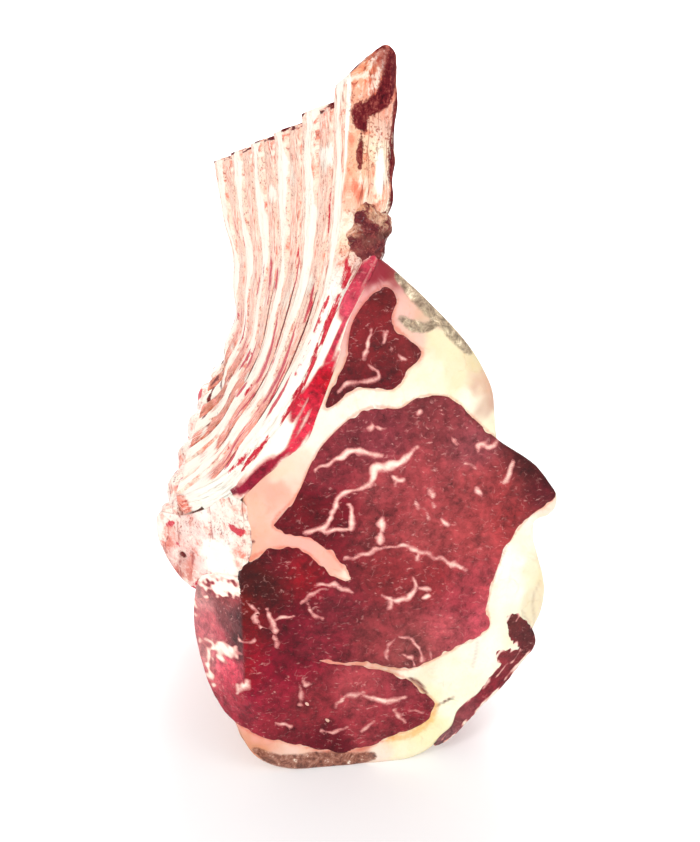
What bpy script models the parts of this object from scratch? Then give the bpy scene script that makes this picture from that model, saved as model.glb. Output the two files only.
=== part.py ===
"""A raw beef rib roast: six long rib bones above the cut muscles, standing on its fat side.

Frame: origin under the middle of the roast, +X to the right of the front cut face, +Y from the
front cut face to the back one, +Z up along the ribs. Sections are drawn in millimetres as they lie
in the front cut face; carry() takes a point of that section back into the roast.
"""

import math

import bmesh
import bpy
import numpy as np

for old in list(bpy.data.objects):
    bpy.data.objects.remove(old, do_unlink=True)

MM = 0.001
DEPTH = 248.0  # from the front cut face to the back one
STATIONS = 6  # sections along that depth
GAP = 0.3  # between two pieces that touch

RIB_COUNT = 6
RIB_PITCH = 44.0
RIB_FIRST = 14.0  # middle of the front rib, behind the front cut face
RIB_WIDTH = 22.0
RIB_EXTRA = (20.0, 3.0, 0.0, 0.0, 0.0, 0.0)  # how much longer each rib is than the last one
TIP_TILT = 4.0  # the sawn tips rise this much either way, towards the outer side
FRONT_TIP = (5.0, 9.0)  # the front tip rises this much so, and is rounded by this much

FOLD_X = -61.0  # left of this line the front cut slants back
FOLD_SLOPE = 1.15
RIB_SQUARE = 0.55  # the section of a rib: 1 is an ellipse, 0 a rectangle


# How far each region of the section has moved at the back of the roast: where it lies in the
# front section (x, z), how far it goes (dx, dz), and the power of the depth that it grows with.
DRIFTS = (
    ((0, 358), (-79, -10), 1),
    ((-7, 308), (-72, -2), 1),
    ((-18, 255), (-50, 12), 1),
    ((-45, 193), (-18, 30), 1.5),
    ((-100, 140), (32, 60), 1.5),
    ((-88, 80), (16, 36), 2),
    ((-20, 0), (0, 0), 1),
    ((60, 20), (0, 0), 1),
    ((100, 130), (-10, 4), 1),
    ((60, 232), (-34, -6), 1),
    ((20, 130), (-8, 8), 1),
)
DRIFT_REACH = 45.0  # a region hands over to the next at about this distance


def carry(points, depth):
    """The section points (x, z) at a depth, each moved by the mean of the drifts around it.

    The drifts are weighted by 1 / (r^2 + reach^2)^1.5. They grow in straight steps from station
    to station, so that pieces with more or fewer sections still lie against each other, and the
    lowest points, which the roast stands on, stay where they are.
    """
    points = np.asarray(points, float)
    depth = np.broadcast_to(depth, len(points))
    knots = np.linspace(0, DEPTH, STATIONS)
    total = np.zeros(len(points))
    moved = np.zeros((len(points), 2))
    for spot, shift, power in DRIFTS:
        near = (((points - spot) ** 2).sum(axis=1) + DRIFT_REACH**2) ** -1.5
        total += near
        moved += (near * np.interp(depth, knots, (knots / DEPTH) ** power))[:, None] * np.array(shift)
    moved *= (np.clip(points[:, 1] / 60, 0, 1) / total)[:, None]
    return points + moved


def place(points, depth):
    """Section points at a depth behind the front cut face, as points of the roast in metres."""
    depth = np.broadcast_to(depth, len(points)).astype(float)
    flat = carry(points, depth)
    return np.column_stack([flat[:, 0], depth - DEPTH / 2, flat[:, 1]]) * MM


def rounded(points, steps=2, ends=False):
    """A smooth curve through the points, steps spans from each to the next; closed unless ends."""
    points = np.asarray(points, float)
    if ends:
        ring = np.vstack([2 * points[0] - points[1], points, 2 * points[-1] - points[-2]])
    else:
        ring = np.vstack([points[-1], points, points[:2]])
    curve = []
    for a, b, c, d in zip(ring, ring[1:], ring[2:], ring[3:]):
        for t in np.arange(steps) / steps:
            curve.append(
                0.5
                * (2 * b + (c - a) * t + (2 * a - 5 * b + 4 * c - d) * t**2)
                + 0.5 * (3 * b - a - 3 * c + d) * t**3
            )
    if ends:
        curve.append(points[-1])
    return np.array(curve)


def grown(loop, by):
    """The closed anticlockwise loop, moved outwards by a distance."""
    before = loop - np.roll(loop, 1, axis=0)
    after = np.roll(loop, -1, axis=0) - loop
    sides = []
    for edge in (before, after):
        edge = edge / np.linalg.norm(edge, axis=1)[:, None]
        sides.append(np.column_stack([edge[:, 1], -edge[:, 0]]))
    middle = sides[0] + sides[1]
    middle /= np.linalg.norm(middle, axis=1)[:, None]
    widen = np.clip((middle * sides[0]).sum(axis=1), 0.5, 1)
    return loop + middle * (by / widen)[:, None]


def anticlockwise(loop):
    x, z = loop[:, 0], loop[:, 1]
    return loop if (x * np.roll(z, -1) - z * np.roll(x, -1)).sum() > 0 else loop[::-1]


def solid(name, rings, colour=None, finish=0.5):
    """A closed body skinned over rings of as many points each, its ends filled."""
    count = len(rings[0])
    work = bmesh.new()
    rows = [[work.verts.new(point) for point in ring] for ring in rings]
    for row, further in zip(rows, rows[1:]):
        for k in range(count):
            a, b = row[k], row[(k + 1) % count]
            c, d = further[(k + 1) % count], further[k]
            work.faces.new((a, b, c))
            work.faces.new((a, c, d))
    caps = [work.faces.new(rows[0][::-1]), work.faces.new(rows[-1])]
    work.normal_update()
    bmesh.ops.triangulate(work, faces=caps, ngon_method="EAR_CLIP")
    bmesh.ops.recalc_face_normals(work, faces=work.faces)
    if work.calc_volume(signed=True) < 0:
        bmesh.ops.reverse_faces(work, faces=work.faces)
    mesh = bpy.data.meshes.new(name)
    work.to_mesh(mesh)
    work.free()
    mesh.shade_smooth()
    mesh.set_sharp_from_angle(angle=math.radians(30))
    body = bpy.data.objects.new(name, mesh)
    bpy.context.scene.collection.objects.link(body)
    if colour:
        paint = bpy.data.materials.new(name)
        paint.use_nodes = True
        shader = paint.node_tree.nodes["Principled BSDF"]
        shader.inputs["Base Color"].default_value = (*colour, 1)
        shader.inputs["Roughness"].default_value = finish
        mesh.materials.append(paint)
    else:
        body.hide_render = True
        body.display_type = "WIRE"
    return body


def through(name, loop, colour=None, finish=0.5, finer=1):
    """A section that runs through the roast from one cut face to the other."""
    loop = anticlockwise(np.asarray(loop, float))
    depths = list(np.linspace(0, DEPTH, (STATIONS - 1) * finer + 1))
    if colour is None:  # a cutter runs out past both faces
        loop = grown(loop, GAP)
        depths = [-12.0, *depths, DEPTH + 12.0]
    return solid(name, [place(loop, depth) for depth in depths], colour, finish)


def cut(body, *cutters):
    for cutter in cutters:
        step = body.modifiers.new(cutter.name, "BOOLEAN")
        step.operation = "DIFFERENCE"
        step.solver = "EXACT"
        step.object = cutter


LEAN = (0.33, 0.055, 0.06)
CREAM = (0.90, 0.78, 0.60)
BONE = (0.86, 0.66, 0.52)

# The eye of the rib, with the darker lean at its left split by a thick seam of fat.
EYE = rounded(
    [
        (-10, 192), (6, 202), (21, 201), (32, 207), (48, 206), (60, 195), (74, 183), (92, 171),
        (101, 161), (106, 151), (91, 139), (78, 120), (71, 92), (72, 78), (56, 68), (28, 57),
        (5, 62), (-13, 64), (-34, 68), (-51, 80), (-60, 98), (-62, 117), (-47, 129), (-29, 128),
        (-14, 113), (-3, 110), (-10, 121), (-22, 133), (-44, 142), (-31, 158), (-22, 178),
    ]
)  # fmt: skip
# The muscle under it. Its left side is the outside of the roast there.
LOWER = rounded(
    [
        (-40, 84), (-22, 60), (5, 57), (27, 51), (38, 41), (43, 34), (38, 24), (22, 17),
        (-8, 9), (-38, 18), (-61, 25), (-74, 32), (-84, 54), (-88, 79), (-82, 106), (-50, 104),
    ]
)  # fmt: skip
# The three-cornered muscle at the outer side of the ribs.
RIB_END = rounded(
    [
        (13, 262), (19, 256), (17, 244), (32, 230), (26, 221), (18, 211), (0, 212), (-16, 202),
        (-13, 213), (-6, 226), (-3, 243), (4, 255),
    ]
)  # fmt: skip
# The thin lean strip in the fat at the lower right.
STRIP = rounded(
    [
        (80, 76), (82, 85), (89, 85), (96, 76), (100, 66), (91, 54), (80, 40), (68, 28),
        (60, 18.5), (51, 10), (44, 8), (47, 14), (53, 20), (56, 29), (62, 35), (69, 39), (76, 52),
    ],
    1,
)  # fmt: skip
# The rack: the inner and the outer side of a rib from the backbone to its tip.
RIB_INNER = np.array(
    [
        (-98, 143.5), (-84, 153), (-70, 165), (-58.5, 180), (-47, 194.5), (-36, 211.5),
        (-25, 232), (-15.5, 256), (-10, 281), (-6.5, 306), (-5, 330), (-4, 346), (-4, 353),
    ]
)  # fmt: skip
RIB_OUTER = np.array(
    [
        (-92, 133), (-77.5, 144), (-63, 158), (-52, 173), (-40, 188.5), (-28, 206.5),
        (-16.5, 228.5), (-5.5, 253), (12, 279), (20, 306), (21, 329), (22, 346), (22, 353),
    ]
)  # fmt: skip
# The thin lean layer on the outer side of the ribs, from the backbone up.
SIDE_INNER = RIB_OUTER[2:9]
SIDE_OUTER = np.array(
    [(-62, 157), (-48.5, 170), (-29, 184), (-20, 202), (-11, 224), (-1.5, 250), (10, 275)]
)
SIDE = np.vstack([SIDE_OUTER, SIDE_INNER[::-1]])
# The backbone end that the ribs grow out of.
CHINE = rounded(
    [
        (-109, 128), (-93, 131.5), (-78, 142), (-63.5, 155.5), (-54, 146), (-55, 125),
        (-63, 113), (-80, 97), (-94, 97), (-107.5, 111),
    ]
)  # fmt: skip
# The outside of the fat: over the top right, then from the tip at the right round the bottom.
UPPER_FAT = np.vstack(
    [
        rounded([(13, 275), (35, 256), (58, 233), (70, 212), (74, 186)], ends=True),
        [(60, 180), (25, 190), (-4, 178), (-14, 160), (-6, 135), (8, 112), (-8, 100), (-30, 110)],
        [(-50, 106)],
        [(-72, 124), (-66, 138), (-61, 150), (-57, 163)],
        0.5 * (SIDE_OUTER + SIDE_INNER)[1:],
    ]
)
OUTER_FAT = np.vstack(
    [
        rounded(
            [
                (96, 161), (107, 154), (108, 142), (97, 137), (98, 122), (104, 98), (103, 80),
                (99, 68),
            ],
            ends=True,
        ),
        [(90, 60), (78, 46), (65, 31), (53, 15), (42, 6), (31, 1.6)],
        [(20, 0), (-10, 0), (-30, 0)],
        rounded([(-40, 2), (-57, 10), (-66, 26)], ends=True),
        [(-50, 38), (-20, 28), (10, 30), (24, 38), (0, 48), (-24, 54), (-27, 74)],
        [(20, 70), (58, 84), (64, 110), (76, 140)],
    ]
)  # fmt: skip


def rib(name, middle, extra, tilt, dome):
    """A rib: squared ovals between the two sides of the rack, at one depth in the roast."""
    turn = np.arange(12) / 12 * 2 * math.pi + math.pi / 12
    across = np.sign(np.cos(turn)) * np.abs(np.cos(turn)) ** RIB_SQUARE
    along = np.sign(np.sin(turn)) * np.abs(np.sin(turn)) ** RIB_SQUARE
    rise = np.clip((RIB_INNER[:, 1] - 290) / 63, 0, 1)
    rings = []
    for near, far, up in zip(RIB_INNER, RIB_OUTER, rise):
        ring = (near + far) / 2 + across[:, None] * (far - near) * 0.48
        ring[:, 1] += up * (extra + tilt * across) - up**8 * dome * across**2
        rings.append(place(ring, middle + along * RIB_WIDTH / 2))
    return solid(name, rings, BONE, 0.45)


def between_ribs(name, start, end):
    """The lean between two ribs, a little thinner than they are and ending short of their tips."""
    rings = []
    for near, far in list(zip(RIB_INNER, RIB_OUTER))[:-1]:
        a, b = near + 0.16 * (far - near), near + 0.9 * (far - near)
        ring = np.array([a, (a + b) / 2, b, b, (a + b) / 2, a])
        rings.append(place(ring, np.array([start, start, start, end, end, end])))
    return solid(name, rings, LEAN, 0.4)


def knife_ring(height):
    """The block that the slanting cut takes off the front left, at one height."""
    corners = [(0, -40), (0, 0), (-90, 90 * FOLD_SLOPE), (-90, -40)]
    return [np.array([FOLD_X + x, y - DEPTH / 2, height]) * MM for x, y in corners]


knife = solid("knife", [knife_ring(-20), knife_ring(420)])

eye_cutter = through("eye_cutter", EYE)
lower_cutter = through("lower_cutter", LOWER)
chine_cutter = through("chine_cutter", CHINE)
end_cutter = through("end_cutter", RIB_END)
strip_cutter = through("strip_cutter", STRIP)
side_cutter = through("side_cutter", SIDE, finer=2)

chine = through("chine_bone", CHINE, BONE)
eye = through("eye_muscle", EYE, LEAN)
lower = through("lower_muscle", LOWER, LEAN)
rib_end = through("rib_end_muscle", RIB_END, LEAN)
side = through("rib_side_muscle", SIDE, LEAN, finer=2)
strip = through("cap_strip_muscle", STRIP, LEAN)
upper_fat = through("upper_fat", UPPER_FAT, CREAM)
outer_fat = through("outer_fat", OUTER_FAT, CREAM)

cut(eye, chine_cutter)
cut(lower, eye_cutter, chine_cutter, knife)
cut(chine, knife)
cut(side, chine_cutter, knife)
cut(upper_fat, eye_cutter, end_cutter, side_cutter, chine_cutter, knife)
cut(outer_fat, eye_cutter, lower_cutter, strip_cutter, knife)

for k in range(RIB_COUNT):
    middle = RIB_FIRST + k * RIB_PITCH
    tip = FRONT_TIP if k == 0 else (TIP_TILT, 0)
    bone = rib(f"rib_bone_{k + 1}", middle, RIB_EXTRA[k], *tip)
    cut(bone, chine_cutter, knife)
    if k:
        half = RIB_WIDTH / 2 + GAP
        lean = between_ribs(f"between_ribs_{k}", middle - RIB_PITCH + half, middle - half)
        cut(lean, chine_cutter, knife)
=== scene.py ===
"""The raw beef rib roast as it looks: fat, lean, veins, bone and dried edges over the CAD solids.

Sections are drawn in millimetres as they lie in the front cut face, x to the right and z up. A
depth is measured from the front cut face to the back one.
"""

import math

import bpy
import numpy as np
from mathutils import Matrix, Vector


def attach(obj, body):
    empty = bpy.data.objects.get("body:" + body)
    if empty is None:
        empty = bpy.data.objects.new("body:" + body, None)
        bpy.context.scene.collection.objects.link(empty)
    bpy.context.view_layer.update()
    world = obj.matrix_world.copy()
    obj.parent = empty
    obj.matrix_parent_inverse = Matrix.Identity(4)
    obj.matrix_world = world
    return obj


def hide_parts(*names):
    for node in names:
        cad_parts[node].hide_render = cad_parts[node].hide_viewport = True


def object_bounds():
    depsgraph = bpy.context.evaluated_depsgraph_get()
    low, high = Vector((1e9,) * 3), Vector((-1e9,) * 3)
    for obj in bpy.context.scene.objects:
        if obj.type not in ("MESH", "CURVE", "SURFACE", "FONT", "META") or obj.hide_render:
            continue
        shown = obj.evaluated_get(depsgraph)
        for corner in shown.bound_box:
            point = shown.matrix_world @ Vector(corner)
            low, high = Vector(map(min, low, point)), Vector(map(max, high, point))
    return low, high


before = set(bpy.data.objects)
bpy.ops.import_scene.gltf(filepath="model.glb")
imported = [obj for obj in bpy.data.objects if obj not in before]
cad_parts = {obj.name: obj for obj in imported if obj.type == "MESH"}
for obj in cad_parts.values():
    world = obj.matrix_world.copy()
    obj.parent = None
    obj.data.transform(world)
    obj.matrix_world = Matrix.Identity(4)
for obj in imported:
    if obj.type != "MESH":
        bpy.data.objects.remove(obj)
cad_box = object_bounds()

# ---------------------------------------------------------------------------------------------
# The eye of the rib: the long round muscle of the cut face. Its lean is rose to dark red in
# coarse bundles, with branching veins of fat, small flecks and a dried dark edge at the top right.

MM = 0.001
DEPTH = 248.0
FOLD_X, FOLD_SLOPE = -61.0, 1.15
DRIFT_REACH = 45.0
SHINE_ADDS, SHINE_LEAVES = 0.012, 0.94
NO_VEIN = 9.0

# Where a region of the section lies in front, how far it has moved at the back, and the power of
# the depth that it moves with.
DRIFTS = (
    ((0, 358), (-79, -10), 1),
    ((-7, 308), (-72, -2), 1),
    ((-18, 255), (-50, 12), 1),
    ((-45, 193), (-18, 30), 1.5),
    ((-100, 140), (32, 60), 1.5),
    ((-88, 80), (16, 36), 2),
    ((-20, 0), (0, 0), 1),
    ((60, 20), (0, 0), 1),
    ((100, 130), (-10, 4), 1),
    ((60, 232), (-34, -6), 1),
    ((20, 130), (-8, 8), 1),
)


def place(x, z, depth):
    """Points of the roast in metres, for section points at a depth.

    Each point moves by the mean of the drifts, weighted by 1 / (r^2 + reach^2)^1.5, which grow with
    the depth in five straight steps. The lowest points stay where they are.
    """
    x, z, depth = np.broadcast_arrays(x, z, depth)
    knots = np.linspace(0, DEPTH, 6)
    total, right, up = np.zeros(x.shape), np.zeros(x.shape), np.zeros(x.shape)
    for (sx, sz), (dx, dz), power in DRIFTS:
        near = ((x - sx) ** 2 + (z - sz) ** 2 + DRIFT_REACH**2) ** -1.5
        gone = near * np.interp(depth, knots, (knots / DEPTH) ** power)
        total, right, up = total + near, right + gone * dx, up + gone * dz
    part = np.clip(z / 60, 0, 1) / total
    z = np.maximum(z + up * part, 0.0)
    return np.stack([x + right * part, depth - DEPTH / 2, z], axis=-1) * MM


def waves(x, y, size, seed, count=9):
    """Smooth uneven values about -1 to 1: the sum of sine waves near size long in chance directions."""
    chance = np.random.default_rng(seed)
    turns, starts = chance.uniform(0, math.pi, count), chance.uniform(0, 6.28, count)
    total = 0.0
    for turn, start, length in zip(turns, starts, chance.uniform(0.65, 1.6, count)):
        along = x * math.cos(turn) + y * math.sin(turn)
        total = total + np.sin(along * 2 * math.pi / (size * length) + start)
    return total * 1.1 / math.sqrt(count)


def slope(value, start, length):
    """0 up to a start and 1 past its length, straight between. A negative length goes down."""
    return np.clip((value - start) / length, 0, 1)


def spot(x, z, centre, size):
    """A soft spot: 1 at its centre, and 1 / e at its half width and its half height."""
    return np.exp(-(((x - centre[0]) / size[0]) ** 2 + ((z - centre[1]) / size[1]) ** 2))


def smooth(points, closed=True, steps=8):
    """A Catmull-Rom curve through the points: b + t/2 ((c-a) + t ((2a-5b+4c-d) + t (3b-a-3c+d)))."""
    points = np.asarray(points, float)
    if closed:
        ring = np.vstack([points[-1:], points, points[:2]])
    else:
        ring = np.vstack([2 * points[0] - points[1], points, 2 * points[-1] - points[-2]])
    a, b, c, d = (ring[k : len(ring) - 3 + k, None] for k in range(4))
    t = (np.arange(steps) / steps)[:, None]
    curve = b + t / 2 * ((c - a) + t * (2 * a - 5 * b + 4 * c - d + t * (3 * b - a - 3 * c + d)))
    curve = curve.reshape(-1, 2)
    return curve if closed else np.vstack([curve, points[-1]])


def inside_by(x, z, loop):
    """How far points lie inside a closed loop, in mm and negative outside: the distance to the
    nearest side, with its sign from how many sides a line to the right crosses."""
    best, odd = np.full(x.shape, 1e9), np.zeros(x.shape, bool)
    for (px, pz), (qx, qz) in zip(loop, np.roll(loop, -1, axis=0)):
        sx, sz = qx - px, qz - pz
        t = np.clip(((x - px) * sx + (z - pz) * sz) / max(sx * sx + sz * sz, 1e-9), 0, 1)
        best = np.minimum(best, (x - px - t * sx) ** 2 + (z - pz - t * sz) ** 2)
        crosses = (pz > z) != (qz > z)
        odd ^= crosses & (x < px + (z - pz) * sx / (sz if sz else 1e-9))
    return np.where(odd, 1, -1) * np.sqrt(best)


def off_lines(x, z, lines):
    """The distance in mm to the nearest of some lines, less the line's half width there, which
    swells from a third at its ends to all of it in its middle."""
    best = np.full(x.shape, 1e9)
    for half, line in lines:
        curve = smooth(line, closed=False, steps=4)
        width = half * (0.35 + 0.65 * np.sin(np.linspace(0, math.pi, len(curve))))
        for (px, pz), (qx, qz), wide in zip(curve, curve[1:], width):
            sx, sz = qx - px, qz - pz
            t = np.clip(((x - px) * sx + (z - pz) * sz) / max(sx * sx + sz * sz, 1e-9), 0, 1)
            best = np.minimum(best, np.hypot(x - px - t * sx, z - pz - t * sz) - wide)
    return best


def disc_grid(loop, centre, cells):
    """A square grid drawn into a loop: the square ring at s of the way out lies on the loop
    shrunk to s about the centre."""
    loop = np.vstack([loop, loop[:1]])
    run = np.concatenate([[0], np.cumsum(np.linalg.norm(np.diff(loop, axis=0), axis=1))])
    a, b = np.meshgrid(*[np.linspace(-1, 1, cells + 1)] * 2, indexing="ij")
    s = np.maximum(np.abs(a), np.abs(b))
    a, b = a / np.maximum(s, 1e-9), b / np.maximum(s, 1e-9)
    u = np.select(
        [(a > 0.99999) & (b < 0.99999), b > 0.99999, a < -0.99999],
        [(b + 1) / 2, 1 + (1 - a) / 2, 2 + (1 - b) / 2],
        3 + (a + 1) / 2,
    )
    u = u / 4 * run[-1]
    x = centre[0] + s * (np.interp(u, run, loop[:, 0]) - centre[0])
    z = centre[1] + s * (np.interp(u, run, loop[:, 1]) - centre[1])
    return x, z


def skin(name, points, quads, triangles=()):
    """A smooth mesh object of those points, in metres, with faces given by index."""
    quads = np.asarray(quads).reshape(-1, 4)
    triangles = np.asarray(triangles, int).reshape(-1, 3)
    mesh = bpy.data.meshes.new(name)
    mesh.vertices.add(len(points))
    mesh.vertices.foreach_set("co", np.asarray(points, np.float32).ravel())
    corners = np.concatenate([quads.ravel(), triangles.ravel()])
    mesh.loops.add(len(corners))
    mesh.loops.foreach_set("vertex_index", corners.astype(np.int32))
    counts = np.concatenate([np.full(len(quads), 4), np.full(len(triangles), 3)])
    mesh.polygons.add(len(counts))
    starts = np.concatenate([[0], np.cumsum(counts)[:-1]])
    mesh.polygons.foreach_set("loop_start", starts.astype(np.int32))
    mesh.update(calc_edges=True)
    mesh.shade_smooth()
    piece = bpy.data.objects.new(name, mesh)
    bpy.context.scene.collection.objects.link(piece)
    return piece


def grid_faces(index):
    """The quads of a grid of point numbers, turning from its first way to its second."""
    rows = [index[:-1, :-1], index[1:, :-1], index[1:, 1:], index[:-1, 1:]]
    return np.stack(rows, axis=-1).reshape(-1, 4)


def rim(grid):
    """The border of a grid, once round."""
    return np.concatenate([grid[-1, :-1], grid[:0:-1, -1], grid[0, :0:-1], grid[:-1, 0]])


def through_piece(name, x, z, front, back, runs=(0.5,), bulge=None):
    """A piece that runs from cut face to cut face: the section grid at its front and back depths,
    and a wall whose rows lie at the runs, 0 to 1, between the two rims. bulge(x, z, depth, edge)
    moves the wall outwards in mm, where edge is the distance from the nearer cut face.

    It gives the object, and for each of its points the section x and z, the depth, and the
    face: 0 the front cut, 1 the wall and 2 the back cut.
    """
    runs = np.asarray(runs, float)[:, None]
    rx, rz = rim(x), rim(z)
    depth = rim(front) + runs * (rim(back) - rim(front))
    tx, tz = np.roll(rx, -1) - np.roll(rx, 1), np.roll(rz, -1) - np.roll(rz, 1)
    long = np.maximum(np.hypot(tx, tz), 1e-6)
    wx, wz = np.broadcast_to(rx, depth.shape), np.broadcast_to(rz, depth.shape)
    if bulge:
        out = bulge(wx, wz, depth, np.minimum(depth - rim(front), rim(back) - depth))
        wx, wz = wx + out * tz / long, wz - out * tx / long
    sx = np.concatenate([x.ravel(), wx.ravel(), x.ravel()])
    sz = np.concatenate([z.ravel(), wz.ravel(), z.ravel()])
    deep = np.concatenate([front.ravel(), depth.ravel(), back.ravel()])
    side = np.repeat([0, 1, 2], [x.size, wx.size, x.size])
    first = np.arange(x.size).reshape(x.shape)
    last = first + x.size + wx.size
    rows = np.vstack([rim(first), np.arange(wx.size).reshape(wx.shape) + x.size, rim(last)])
    rows = np.hstack([rows, rows[:, :1]])
    quads = np.vstack([grid_faces(first), grid_faces(rows), grid_faces(last.T)])
    return skin(name, place(sx, sz, deep), quads), sx, sz, deep, side


def give(piece, **fields):
    """Puts values or colours on a piece's points for its material to read."""
    for name, values in fields.items():
        values = np.asarray(values, np.float32)
        if values.ndim == 1:
            layer = piece.data.attributes.new(name, "FLOAT", "POINT")
            layer.data.foreach_set("value", values)
        else:
            layer = piece.data.attributes.new(name, "FLOAT_COLOR", "POINT")
            whole = np.column_stack([values, np.ones(len(values), np.float32)])
            layer.data.foreach_set("color", whole.ravel())


def linear(colour):
    """A colour of 0 to 255 a channel, as the light that it stands for."""
    c = np.asarray(colour, float) / 255
    return np.where(c <= 0.04045, c / 12.92, ((c + 0.055) / 1.055) ** 2.4)


def tones(x, z, spots, reach=10.0):
    """The colours of the spots around each point, weighted by 1 / (r^2 + reach^2)^2, less the
    little that the shine of the wet surface adds to them in soft white light."""
    total, mixed = 0.0, 0.0
    for (sx, sz), colour in spots:
        near = ((x - sx) ** 2 + (z - sz) ** 2 + reach**2) ** -2
        total, mixed = total + near, mixed + near[:, None] * np.array(colour, float)
    lit = linear(mixed / total[:, None])
    return np.clip((lit - SHINE_ADDS) * SHINE_LEAVES, 0.002, 1)


def front_cut(x, z):
    """The depth of the front cut face: gently uneven, and slanting back left of the fold, which
    is sharp at the top and rounds off below."""
    past = FOLD_X - x + 0.5 + 0.5 * waves(z, 0 * z, 30, 2)
    soft = 0.35 + 5.0 * slope(z, 56, -22)
    slant = FOLD_SLOPE * soft * np.logaddexp(0, past / soft)
    return 2.0 + 0.45 * waves(x, z, 46, 3) + 0.2 * waves(x, z, 17, 4) + slant


def back_cut(x, z):
    """The depth of the back cut face."""
    return DEPTH - 1.9 - 0.5 * waves(x, z, 52, 5) - 0.2 * waves(x, z, 19, 6)


class Wire:
    """A value, colour or vector in a material. Arithmetic on it adds Math nodes."""

    def __init__(self, tree, socket=None):
        self.tree, self.socket = tree, socket

    def node(self, kind, settings=None, output=0, **sockets):
        """Adds a node of a kind, with its settings and then its sockets, named or _number."""
        made = self.tree.nodes.new("ShaderNode" + kind)
        for key, value in (settings or {}).items():
            if key == "stops":
                while len(made.color_ramp.elements) < len(value):
                    made.color_ramp.elements.new(0.5)
                for stop, (at, colour) in zip(made.color_ramp.elements, value):
                    stop.position, stop.color = at, (*colour, 1)
            else:
                setattr(made, key, value)
        for key, value in sockets.items():
            entry = made.inputs[int(key[1:]) if key[0] == "_" else key.replace("_", " ")]
            if isinstance(value, Wire):
                self.tree.links.new(value.socket, entry)
            else:
                entry.default_value = value
        return Wire(self.tree, made.outputs[output])

    def math(self, operation, *others):
        """A Math node on this value and others."""
        sockets = {f"_{k}": other for k, other in enumerate((self, *others))}
        return self.node("Math", {"operation": operation}, **sockets)

    def __add__(self, other):
        return self.math("ADD", other)

    def __sub__(self, other):
        return self.math("SUBTRACT", other)

    def __rsub__(self, other):
        return self.node("Math", {"operation": "SUBTRACT"}, _0=other, _1=self)

    def __mul__(self, other):
        return self.math("MULTIPLY", other)

    def __truediv__(self, other):
        return self.math("DIVIDE", other)

    __radd__, __rmul__ = __add__, __mul__

    def step(self, low, high):
        """0 at low, 1 at high and smooth between, whichever is larger."""
        return self.node("MapRange", {"interpolation_type": "SMOOTHSTEP"}, _0=self, _1=low, _2=high)

    def scaled(self, by):
        """This colour or vector, made stronger or weaker."""
        return self.node("VectorMath", {"operation": "SCALE"}, _0=self, Scale=by)

    def plus(self, other):
        """This vector and another, added."""
        return self.node("VectorMath", {"operation": "ADD"}, _0=self, _1=other)

    def thin(self, level, half):
        """1 in a narrow band where this value passes a level, fading out within half of it."""
        return (self - level).math("ABSOLUTE").step(half, half * 0.3)

    def tinted(self, tint, share):
        """This colour, multiplied by a fixed tint by a share."""
        settings = {"data_type": "RGBA", "blend_type": "MULTIPLY"}
        return self.node("Mix", settings, 2, _0=share, _6=self, _7=(*tint, 1))

    def towards(self, colour, share):
        """This colour, moved towards a fixed one by a share."""
        return self.node("Mix", {"data_type": "RGBA"}, 2, _0=share, _6=self, _7=(*colour, 1))

    def ramp(self, *stops):
        """The colour that this value has on a ramp of stops."""
        return self.node("ValToRGB", {"stops": stops}, Fac=self)

    def over(self, under, share):
        """This colour over another, by its share."""
        return self.node("Mix", {"data_type": "RGBA"}, 2, _0=share, _6=under, _7=self)

    def noise(self, scale, detail=2.0, rough=0.5):
        """Cloudy noise at this place, about 0.3 to 0.7."""
        return self.node("TexNoise", Vector=self, Scale=scale, Detail=detail, Roughness=rough)

    def cells(self, scale, feature="F1", output=0):
        """Rounded cells at this place."""
        return self.node("TexVoronoi", {"feature": feature}, output, Vector=self, Scale=scale)


def finish(piece, name, build, coat, flesh, shine=0.2):
    """Gives a piece its material. build(wire, at, mark) makes the base colour, the roughness, the
    height of the relief and its depth in mm, where at is the place on the object in mm and
    mark(name) reads a field of the piece."""
    made = bpy.data.materials.new(name)
    made.use_nodes = True
    tree = made.node_tree
    shader = tree.nodes["Principled BSDF"]
    shader.inputs["Coat Weight"].default_value = coat
    shader.inputs["Coat Roughness"].default_value = 0.12
    shader.inputs["Specular IOR Level"].default_value = shine
    shader.inputs["Subsurface Weight"].default_value = flesh
    shader.inputs["Subsurface Radius"].default_value = (1.0, 0.35, 0.2)
    shader.inputs["Subsurface Scale"].default_value = 0.004
    wire = Wire(tree)
    spot = wire.node("TexCoord", output=3)
    at = wire.node("VectorMath", {"operation": "SCALE"}, _0=spot, Scale=1000.0)

    def mark(field, colour=False):
        return wire.node("Attribute", {"attribute_name": field}, 0 if colour else 2)

    colour, rough, height, deep = build(wire, at, mark)
    tree.links.new(colour.socket, shader.inputs["Base Color"])
    tree.links.new(rough.socket, shader.inputs["Roughness"])
    bump = wire.node("Bump", Strength=1.0, Distance=deep * MM, Height=height)
    tree.links.new(bump.socket, shader.inputs["Normal"])
    piece.data.materials.append(made)


EYE_POINTS = [
    (-10, 192), (6, 202), (21, 201), (32, 207), (48, 206), (60, 195), (74, 183), (92, 171),
    (101, 161), (106, 151), (91, 139), (78, 120), (71, 92), (72, 78), (56, 68), (28, 57),
    (5, 62), (-13, 64), (-34, 68), (-51, 80), (-60, 98), (-62, 117), (-47, 129), (-29, 128),
    (-14, 113), (-3, 110), (-10, 121), (-22, 133), (-44, 142), (-31, 158), (-22, 178),
]  # fmt: skip
EYE = smooth(EYE_POINTS, steps=5)
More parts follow.
